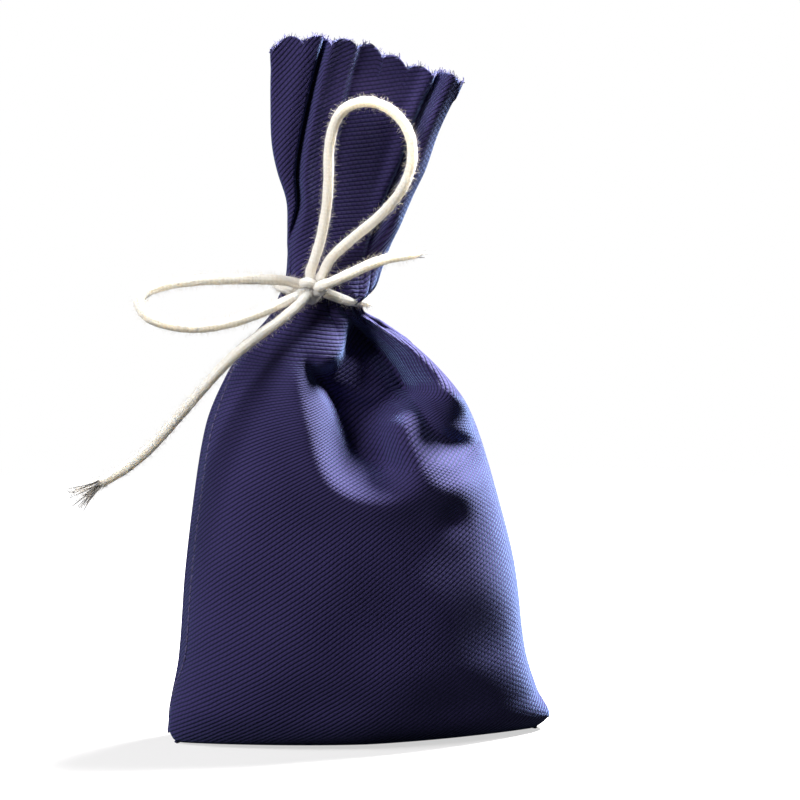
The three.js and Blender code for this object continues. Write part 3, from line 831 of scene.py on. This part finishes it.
def wrap_neck(looks):
    """The cord's turn round the neck, from the knot and back into it."""
    angles = np.radians(np.linspace(*WRAP_TURN, 14))
    ring = np.column_stack([WRAP_HALF_WIDTH * np.cos(angles), WRAP_HALF_DEPTH * np.sin(angles), 0 * angles])
    start, end = from_knot([WRAP_START, WRAP_END])
    points = np.vstack([start, neck_to_object(ring), end])
    wrap = cord_tube("neck_wrap_cord", through_points(points, CORD_STEP), looks["cotton"])
    stand_in(add_fuzz(wrap, 32, looks), "neck_wrap", "pouch")


def tie_bow(looks):
    fray = loose_strands("left_tail_strands", LEFT_TAIL, looks, 41, length=9, count=26, spread=3.4)
    stand_in(fray, "left_tail_fray", "left_tail")
    wisp = loose_strands("right_tail_strands", RIGHT_TAIL[:-2], looks, 42, length=5.5, count=4, spread=0.6)
    stand_in(wisp, "right_tail_fray", "right_tail")
    stretches = [
        ("upright_loop_cord", UPRIGHT_LOOP, "object", 0, "upright_loop", []),
        ("left_loop_cord", LEFT_LOOP, "object", 0, "left_loop", []),
        ("left_tail_cord", LEFT_TAIL, "bare", 0, "left_tail", [fray]),
        ("right_tail_cord", RIGHT_TAIL, "bare", RIGHT_WISP, "right_tail", [wisp]),
    ]
    for seed, (name, route, far_end, thinned, body, pieces) in enumerate(stretches, start=21):
        cord, path, length = free_cord(name, route, far_end, thinned, body, seed, looks)
        tuple(path[0] * MM)
        [tuple(point) for point in path * MM]


# Cloth

# Folds of the front, as lines in the front view from the neck down: x and height
MAIN_FOLD = [
    (-4.5, 112), (-6.6, 106.2), (-8.2, 102.4), (-10.6, 100.4), (-13.4, 101), (-16.2, 101), (-18, 97.6),
    (-18, 93.4), (-16.8, 87), (-14.8, 77.5), (-11.2, 70), (-5, 66), (3, 65.2), (10, 66.5), (16, 69.5),
]
MAIN_FOLD_ROLL = smooth_curve([0, 0.1, 0.2, 0.28, 0.36, 0.45, 0.56, 0.67, 0.88, 1],
                              [2, 2.2, 2.4, 4.2, 6.6, 8, 9, 8.6, 5.4, 4])
MAIN_FOLD_DROP = smooth_curve([0, 0.08, 0.22, 0.32, 0.45, 0.65, 0.85, 1],
                              [4, 8.6, 10, 9, 6.5, 5.5, 5, 3])
SECOND_RIDGE = [(-4, 105.5), (-1, 101.5), (3.5, 95.5), (7.5, 90)]
RIGHT_FOLD = [(-3, 111), (0.5, 106), (8.5, 97), (13, 88.5), (17, 82), (23, 78.5), (33, 76)]
LOW_CREASE = [(13, 71.5), (22, 71), (34, 72.5)]
# Small dents of the front: x, height, depth, half width, and how much lower than wide
DENTS = [(-7, 107, 1.6, 6, 1), (21.5, 60, 1.1, 3.6, 1.1)]
# Folds of the back, seen through from the front
BACK_FOLD = [(-3, 111), (-1, 102), (-6, 92), (-12, 80), (-18, 71)]
BACK_SIDE_FOLD = [(3, 111), (9, 100), (18, 88), (27, 80)]


def front_folds(x, z):
    """How far the folds push the front cloth out, over the plain swelling of the pouch."""
    beside, along = beside_line(MAIN_FOLD, x, z)
    roll = MAIN_FOLD_ROLL(along)
    slope = 0.95 * roll * np.clip(beside / roll, 0, 1) ** 1.4
    drop = MAIN_FOLD_DROP(along) * ease(0, 2.4, beside - roll)
    filled = 0.85 * ease(3, 24, x + 0.3 * (z - 85))
    rim = (0.9 * ease(0.2, 0.36, along) + 1.6 * hill(along - 0.29, 0.06)) * hill(beside, 4.5)
    push = (rim - (slope + drop) * (1 - filled)) * ease(0, 0.15, 1 - along)
    beside, along = beside_line(SECOND_RIDGE, x, z)
    push = push + 1.2 * hill(beside, 2.6) * ease(0.1, 0.7, along) * ease(0, 0.4, 1 - along)
    beside, along = beside_line(RIGHT_FOLD, x, z)
    fade = ease(0, 0.15, along) * ease(0, 0.15, 1 - along)
    lobe = (0.8 + 2.6 * ease(78, 100, z)) * ease(0, 7, beside)
    lobe = lobe + 8 * ease(2, 11, beside) * ease(82, 92, z) * (1 - ease(104, 111, z))
    below = np.maximum(-beside, 0)
    dip = -(2.4 + 2.6 * ease(84, 92, z)) * np.clip(1 - below / 9, 0, 1) ** 2 * (1 - ease(0, 3, beside))
    dip = dip + 2.8 * hill(below - 10, 6) * ease(0, 6, below) * ease(0.45, 0.75, along)
    push = push + (lobe + dip) * fade
    beside, along = beside_line(LOW_CREASE, x, z)
    push = push - 0.8 * hill(beside, 1.3) * ease(0, 0.3, along)
    for dent_x, dent_z, depth, width, flatness in DENTS:
        push = push - depth * hill(np.hypot(x - dent_x, flatness * (z - dent_z)), width)
    return push


def back_folds(x, z):
    """The same for the back cloth."""
    beside, along = beside_line(BACK_FOLD, x, z)
    push = -6.5 * ease(0, 5, beside) ** 1.4 * (1 - ease(0, 15, beside - 8)) * (1 - ease(0.7, 1, along))
    beside, along = beside_line(BACK_SIDE_FOLD, x, z)
    side_fold = 3.5 * hill(np.minimum(beside + 1, 0), 5) * (1 - ease(0, 3, beside))
    return push - side_fold * ease(0, 0.3, 1 - along)


LEFT_PLEAT = smooth_curve([8, 22, 38, FRILL_HEIGHT], [-1.04, -0.8, -0.62, -0.48])
RIGHT_PLEAT = smooth_curve([0, 15, 30, 45, FRILL_HEIGHT], [0.45, 0.58, 0.68, 0.73, 0.75])
PLEAT_STEP = smooth_curve([0, 30, FRILL_HEIGHT], [-0.3, -0.2, -0.12])
EDGE_RISE = smooth_curve([-1, -0.83, -0.34, -0.06, 0.23, 0.48, 0.81, 1],
                         [-1.8, 0.9, 2.7, 2.5, 0.9, -0.6, -1.2, -1.8])
SCALLOP_PITCH = 6.9
SCALLOP_DEPTH = 2.2
LIP_PUSH = 1.6
LIP_HANG = 4.4
# Waves of slack cloth: size, waves across, waves upward and a share of the panel's own phase
SLACK_WAVES = [(0.32, 0.11, 0.07, 1), (0.26, 0.17, -0.12, 2.1), (0.16, 0.05, 0.29, 1.3), (0.1, 0.33, 0.21, 1)]
FRONT_PHASE = 1.0
BACK_PHASE = 2.6


def frill_pleats(across, half_width, h):
    """How far the frill's pleats push its two layers to the front."""
    x = across * half_width
    left = x - LEFT_PLEAT(h) * half_width
    step = x - PLEAT_STEP(h) * half_width
    right = x - RIGHT_PLEAT(h) * half_width
    push = 0.9 * hill(left + 4.2, 3) - 3 * hill(left, 0.6) + 0.6 * hill(left - 2, 1.6)
    push = push + 1.6 * ease(0, 1.6, left) * (1 - ease(-1.6, 0.8, step))
    push = push - 1.4 * ease(0, 12, -left)
    push = push - 2.8 * ease(0, 1, step / (left - right)) * (1 - ease(-1, 2, right))
    push = push + 0.8 * hill(x - 0.3 * half_width, 2.4) * (1 - ease(20, 50, h))
    push = push + 1.4 * hill(right + 2.4, 1.8) - 3.6 * hill(right, 0.9) + 3.4 * hill(right - 2.7, 2.8)
    return push * ease(3, 26, h)


def right_lip(across, h):
    """How far the frill's right fold hangs over the cord at the neck."""
    return ease(0.1, 0.45, across) * (1 - 0.95 * ease(0.45, 0.95, across)) * hill(h - 4.6, 3)


def undulation(x, z, phase):
    """The slack of hand-filled cloth: slow waves of no regular pattern."""
    return sum(size * np.sin(a * x + b * z + share * phase) for size, a, b, share in SLACK_WAVES)


def softened(field, passes):
    """A grid of values, each averaged with its neighbours over and over."""
    for _ in range(passes):
        wide = np.pad(field, 1, mode="edge")
        beside = wide[:-2, 1:-1] + wide[2:, 1:-1] + wide[1:-1, :-2] + wide[1:-1, 2:]
        field = field / 2 + beside / 8
    return field


def cloth_sections():
    """All cross-sections from the bottom seam to the scalloped edge, by their distance along the cloth."""
    rows = []
    for shift, z, lean, half_width, half_depth, roundness in POUCH_SECTIONS:
        rows.append((shift, z, math.radians(lean), half_width, half_depth, roundness, z - NECK[2]))
    for shift, h, half_width, half_depth in FRILL_SECTIONS:
        x, _, z = neck_to_object((shift, 0, h))
        roundness = np.interp(h, [12, 40], FRILL_ROUNDNESS)
        rows.append((x, z, FRILL_LEAN, half_width, half_depth, roundness, h))
    rows = np.array(rows)
    profile = rows[:, [0, 1, 4]]
    along = np.concatenate([[0], np.cumsum(np.linalg.norm(np.diff(profile, axis=0), axis=1))])
    return along, smooth_curve(along, rows)


def row_heights():
    """How far each row of a panel lies over the neck."""
    along, sections = cloth_sections()
    return sections(np.linspace(0, along[-1], ROWS))[:, 6]


def panel_points(side):
    """One cloth panel as a grid of points, with its faces and the flat coordinates of their corners."""
    along, sections = cloth_sections()
    v = np.linspace(0, along[-1], ROWS)
    middle_x, middle_z, lean, half_width, half_depth, roundness, h = (c[:, None] for c in sections(v).T)
    share = np.linspace(0, 1, COLUMNS)[None, :]
    turn = SEAM_TURN * ease(*SEAM_TURN_STARTS, middle_z) * (1 - ease(*SEAM_TURN_ENDS, middle_z))
    angle = -side * turn + share * (np.pi + side * turn)
    across = -np.cos(angle)
    swell = np.sign(np.sin(angle)) * (1 - np.abs(across) ** roundness) ** (1 / roundness)
    out = LAYER_GAP * np.sign(swell) + (half_depth - LAYER_GAP) * swell
    x = half_width * across
    on_pouch = 1 - ease(-9, -1, h)
    on_frill = ease(0, 8, h)
    place_x, place_z = middle_x + x * np.cos(lean), middle_z - x * np.sin(lean)
    folds = front_folds(place_x, place_z) if side == FRONT else back_folds(place_x, place_z)
    phase = FRONT_PHASE if side == FRONT else BACK_PHASE
    slack = undulation(place_x, place_z, phase) * ease(2, 12, place_z)
    edge_fade = ease(0.02, 0.3, swell)
    out = out + (softened(folds, 8) + slack) * edge_fade * on_pouch
    gathers = np.abs(np.sin(np.pi * (GATHERS * share + 0.3 * np.sin(9 * share)))) ** 0.7 - 0.6
    out = out + gathers * GATHER_DEPTH * hill(h, np.where(h < 0, 10, 7)) * ease(0, 0.5, swell)
    groove = SEAM_GROOVE * hill(out, 1.3) * ease(5, 10, half_depth) * (1 + 0.3 * np.sin(1.2 * place_z))
    x = x - groove * across
    y = side * out - frill_pleats(across, half_width, h) * on_frill
    edge = ease(38, FRILL_HEIGHT, h)
    waves = np.abs(np.sin(np.pi * (x / SCALLOP_PITCH - 0.41 + 0.05 * side))) ** 0.7 - 0.2 * (side == BACK)
    lift = (EDGE_RISE(across) - SCALLOP_DEPTH * (1 - waves) * ease(0.75, 1, edge)) * edge
    lip = right_lip(across, h)
    x = x + LIP_PUSH * lip * ease(-1, 7, h)
    y = y + side * LIP_PUSH * lip
    lift = lift - LIP_HANG * lip
    points = np.stack(np.broadcast_arrays(
        middle_x + x * np.cos(lean) + lift * np.sin(lean),
        y,
        middle_z - x * np.sin(lean) + lift * np.cos(lean)), axis=-1)
    flat = flat_coordinates(points, side)
    return points, *grain_regions(points, flat, across, h, side)


FRILL_START = -3  # height over the neck where the folds of the pouch end and the pleats begin
GRAIN_WINDOW = 15  # rows over which a seam's lean is averaged
GRAIN_LEAN = 0.65  # the most that the weave leans with a seam, in radians
# The weave's turn in the frill's outer pleat, second pleat and middle: degrees, and a grid column there
PLEAT_GRAIN = [(-22, 40), (-3, 60), (17, 120)]
PLEAT_GRAIN_ROW = -40  # and a row, counted from the scalloped edge
FLATTEN_ROWS = 80  # the panel is flattened as a coarser grid
FLATTEN_COLUMNS = 56
PLAIN_HEIGHTS = (12, 55)  # the pouch is hardly bent between these heights
PLAIN_REACH = 25  # and as far as this to either side


def seam_grain(points, flat, column, sign):
    """The flat coordinates of cloth that follows one side seam up over the shoulder."""
    seam = points[:, column]
    window = np.ones(GRAIN_WINDOW) / GRAIN_WINDOW
    slope = np.pad(np.gradient(seam, axis=0), ((GRAIN_WINDOW // 2,) * 2, (0, 0)), mode="edge")
    sideways, upward = (np.convolve(slope[:, k], window, "valid") for k in (0, 2))
    lean = np.clip(sign * np.arctan2(sideways, upward), 0, GRAIN_LEAN)[:, None]
    level = np.argmin(np.abs(seam[:, 2] - SHOULDER_GRAIN[0]))
    lean[level:] = np.maximum.accumulate(lean[level:])
    steps = np.linalg.norm(np.diff(points, axis=1), axis=2)
    run = np.concatenate([np.zeros((ROWS, 1)), np.cumsum(steps, axis=1)], axis=1)
    distance = run if column == 0 else run[:, -1:] - run
    climb = np.concatenate([[0], np.cumsum(np.linalg.norm(np.diff(seam, axis=0), axis=1))])[:, None]
    u = sign * distance * np.cos(lean) + flat[level, column, 0]
    v = climb - climb[level] + distance * np.sin(lean) + flat[level, column, 1]
    share = ease(*SHOULDER_GRAIN, points[..., 2])[..., None]
    return flat + (np.stack([u, v], axis=-1) - flat) * share


def turned_grain(flat, angle, middle):
    """The flat coordinates turned about a point, in degrees."""
    turn = np.exp(1j * math.radians(angle))
    spots = (flat[..., 0] + 1j * flat[..., 1] - complex(*middle)) * turn + complex(*middle)
    return np.stack([spots.real, spots.imag], axis=-1)


def grain_regions(points, flat, across, h, side):
    """The panel's faces, and the flat coordinates of each corner of each face.

    On the front the weave turns with the seams at the shoulders and with the frill's pleats, and the creases
    hide where it changes.
    """
    faces = grid_faces(ROWS, COLUMNS, side == BACK)
    region = np.zeros((ROWS, COLUMNS), int)
    maps = [flat]
    if side == FRONT:
        beside, along = beside_line(MAIN_FOLD, points[..., 0], points[..., 2])
        on_frill = np.broadcast_to(h >= FRILL_START, region.shape)
        left = ~on_frill & (beside < MAIN_FOLD_ROLL(along) + 0.8)
        beside, along = beside_line(RIGHT_FOLD, points[..., 0], points[..., 2])
        right = ~on_frill & (beside > 0.4)
        pleated = on_frill & (across < PLEAT_STEP(h))
        outer = pleated & (across < LEFT_PLEAT(h))
        middle = on_frill & (across < RIGHT_PLEAT(h)) & ~pleated
        region = np.select([left, right, outer, pleated, middle], [1, 2, 3, 4, 5], 0)
        maps += [seam_grain(points, flat, 0, 1), seam_grain(points, flat, -1, -1)]
        maps += [turned_grain(flat, angle, flat[PLEAT_GRAIN_ROW, column]) for angle, column in PLEAT_GRAIN]
    of_face = region[:-1, :-1].ravel()
    corners = np.stack(maps).reshape(len(maps), -1, 2)[of_face[:, None], faces]
    return faces, corners.reshape(-1, 2)


def flat_coordinates(points, side):
    """Where each point lies on the flat cloth, in millimetres.

    The panel is flattened with as little stretch as can be, then turned so that its threads stand upright on
    the lower part of the pouch.
    """
    rows = np.unique(np.linspace(0, ROWS - 1, FLATTEN_ROWS).round().astype(int))
    columns = np.unique(np.linspace(0, COLUMNS - 1, FLATTEN_COLUMNS).round().astype(int))
    coarse = points[np.ix_(rows, columns)]
    faces = grid_faces(len(rows), len(columns), side == BACK)
    work = add_object("flattened", coarse.reshape(-1, 3), faces, [], "flat", np.zeros((coarse.size // 3, 2)))
    bpy.ops.object.select_all(action="DESELECT")
    work.select_set(True)
    bpy.context.view_layer.objects.active = work
    bpy.ops.object.mode_set(mode="EDIT")
    bpy.ops.mesh.select_all(action="SELECT")
    bpy.ops.uv.unwrap(method="MINIMUM_STRETCH", fill_holes=False, iterations=60)
    bpy.ops.object.mode_set(mode="OBJECT")
    mesh = work.data
    corners = np.empty(len(mesh.loops), int)
    mesh.loops.foreach_get("vertex_index", corners)
    flat = np.empty(2 * len(corners))
    mesh.uv_layers[0].data.foreach_get("uv", flat)
    spots = np.empty(len(mesh.vertices), complex)
    spots[corners] = flat[0::2] + 1j * flat[1::2]
    bpy.data.meshes.remove(mesh)
    spots = spots.reshape(len(rows), len(columns))
    # Turn and size it by the part of the pouch that is hardly bent
    x, z = coarse[..., 0], coarse[..., 2]
    plain = (z > PLAIN_HEIGHTS[0]) & (z < PLAIN_HEIGHTS[1]) & (np.abs(x) < PLAIN_REACH)
    wanted = -side * x + 1j * z
    known = np.column_stack([spots[plain], np.ones(plain.sum())])
    turn, shift = np.linalg.lstsq(known, wanted[plain], rcond=None)[0]
    spots = spots * turn + shift
    by_rows = np.array([np.interp(np.arange(COLUMNS), columns, row) for row in spots])
    dense = np.array([np.interp(np.arange(ROWS), rows, column) for column in by_rows.T]).T
    return np.stack([dense.real, dense.imag], axis=-1)


BLEND_HEIGHTS = (-3, 6)  # heights over the neck where the pouch turns into the frill; the points made from them are not used


def sew_panel(name, side, nodes, looks):
    """One panel of cloth from the bottom seam to the scalloped edge; returns its grid of points."""
    points, faces, corners = panel_points(side)
    cloth = add_object(name, points.reshape(-1, 3), faces, [looks["twill"]])
    cloth.data.uv_layers.new(name="flat_cloth").data.foreach_set("uv", corners.ravel())
    thickness = cloth.modifiers.new("thickness", "SOLIDIFY")
    thickness.thickness = CLOTH_THICKNESS * MM
    thickness.offset = -1
    bake_modifiers(cloth)
    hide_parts(*nodes)
    low, high = (tuple(neck_to_object((0, 0, h)) * MM) for h in BLEND_HEIGHTS)
    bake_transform(cloth)
    return points


def edge_path(name, points, tree, values):
    """Runs a tree along a line of points."""
    mesh = bpy.data.meshes.new(name)
    edges = [(i, i + 1) for i in range(len(points) - 1)]
    mesh.from_pydata((np.asarray(points) * MM).tolist(), edges, [])
    return run_tree(put_in_scene(name, mesh), tree, values)


STITCH = {"Spacing": 2.6 * MM, "Stitch Length": 2.1 * MM, "Thread Radius": 0.34 * MM}
FRAY = {"Spacing": 0.42 * MM, "Length": 1.6 * MM, "Radius": 0.17 * MM}
BUD = {"Spacing": 2.6 * MM, "Length": 5.2 * MM, "Radius": 1.1 * MM}
SEAM_INSET = 0.014  # how far inside the frill's edge its stitches lie, as a share of its width
HEAP_FOOT = 5  # height of the heap's lowest row
HEAP_TOP = -44  # how far its highest row lies over the neck
HEAP_SHARE = (0.86, 0.6, 1)  # size of the heap, as a share of the room inside
HEAP_ROW_STEP = 6


def sew_seams(front, back, looks):
    """The stitches that show in the seams' grooves."""
    seam = (front + back) / 2
    h = row_heights()
    on_pouch = (seam[:, 0, 2] > 3) & (h < -6)
    on_frill = (h > 9) & (h < FRILL_HEIGHT - 3)
    inward = SEAM_INSET * (seam[:, -1] - seam[:, 0])
    stitch = {**STITCH, "Material": looks["thread"]}
    runs = [
        ("left_side_stitches", seam[on_pouch, 0], "left_seam_thread", "pouch"),
        ("right_side_stitches", seam[on_pouch, -1], "right_seam_thread", "pouch"),
        ("bottom_stitches", seam[0, 4:-4] + (0, 0, 0.3), "bottom_seam_thread", "pouch"),
        ("left_frill_stitches", seam[on_frill, 0] + inward[on_frill], "left_frill_thread", "frill"),
        ("right_frill_stitches", seam[on_frill, -1] - inward[on_frill], "right_frill_thread", "frill"),
    ]
    for name, line, node, body in runs:
        stand_in(edge_path(name, line, looks["stitch_tree"], stitch), node, body)


def fray_edges(front, back, looks):
    """Loose yarn ends along the scalloped edges of both layers."""
    pieces = []
    for seed, (name, points) in enumerate((("front_fray", front), ("back_fray", back)), start=51):
        values = {**FRAY, "Seed": seed, "Material": looks["fray"]}
        pieces.append(edge_path(name, points[-1], looks["fray_tree"], values))
    piece = join("frill_edge_fray", *pieces)
    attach(piece, "frill")


def fill_with_buds(front, back, looks):
    """The filling: a closed heap inside the cloth, covered with dried buds."""
    rows = np.flatnonzero((front[:, 0, 2] > HEAP_FOOT) & (row_heights() < HEAP_TOP))[::HEAP_ROW_STEP]
    middle = (front + back)[rows].mean(axis=1, keepdims=True) / 2
    skins = [middle + (skin[rows] - middle) * HEAP_SHARE for skin in (front, back)]
    points = np.vstack([skin.reshape(-1, 3) for skin in skins])
    faces = np.vstack([grid_faces(len(rows), COLUMNS, False),
                       grid_faces(len(rows), COLUMNS, True) + len(rows) * COLUMNS])
    heap = add_object("dried_lavender_heap", points, faces, [looks["lavender"]])
    merge_doubles(heap, 0.8 * MM)
    buds = run_tree(twin(heap), looks["bud_tree"], {**BUD, "Seed": 7, "Material": looks["lavender"]})
    stand_in(join(heap.name, heap, buds), "lavender_filling", "pouch")


def main():
    bpy.context.scene.view_settings.view_transform = "Standard"
    place_camera()
    looks = {
        "twill": new_material("navy_twill", navy_twill),
        "thread": new_material("navy_seam_thread", seam_thread),
        "cotton": new_material("cream_cotton_cord", cream_cotton),
        "fuzz": new_material("cream_cotton_fuzz", cotton_fuzz),
        "fray": new_material("navy_frayed_yarn", twill_fray),
        "lavender": new_material("dried_lavender_buds", dried_lavender),
        "hair_tree": hair_tree(), "stitch_tree": stitch_tree(),
        "fray_tree": fray_tree(), "bud_tree": bud_tree(),
    }
    light_studio()
    lay_floor()
    tie_bow(looks)
    tie_knot(looks)
    wrap_neck(looks)
    front = sew_panel("front_cloth", FRONT, ["front_panel", "front_frill"], looks)
    back = sew_panel("back_cloth", BACK, ["back_panel", "back_frill"], looks)
    sew_seams(front, back, looks)
    fray_edges(front, back, looks)
    fill_with_buds(front, back, looks)


main()
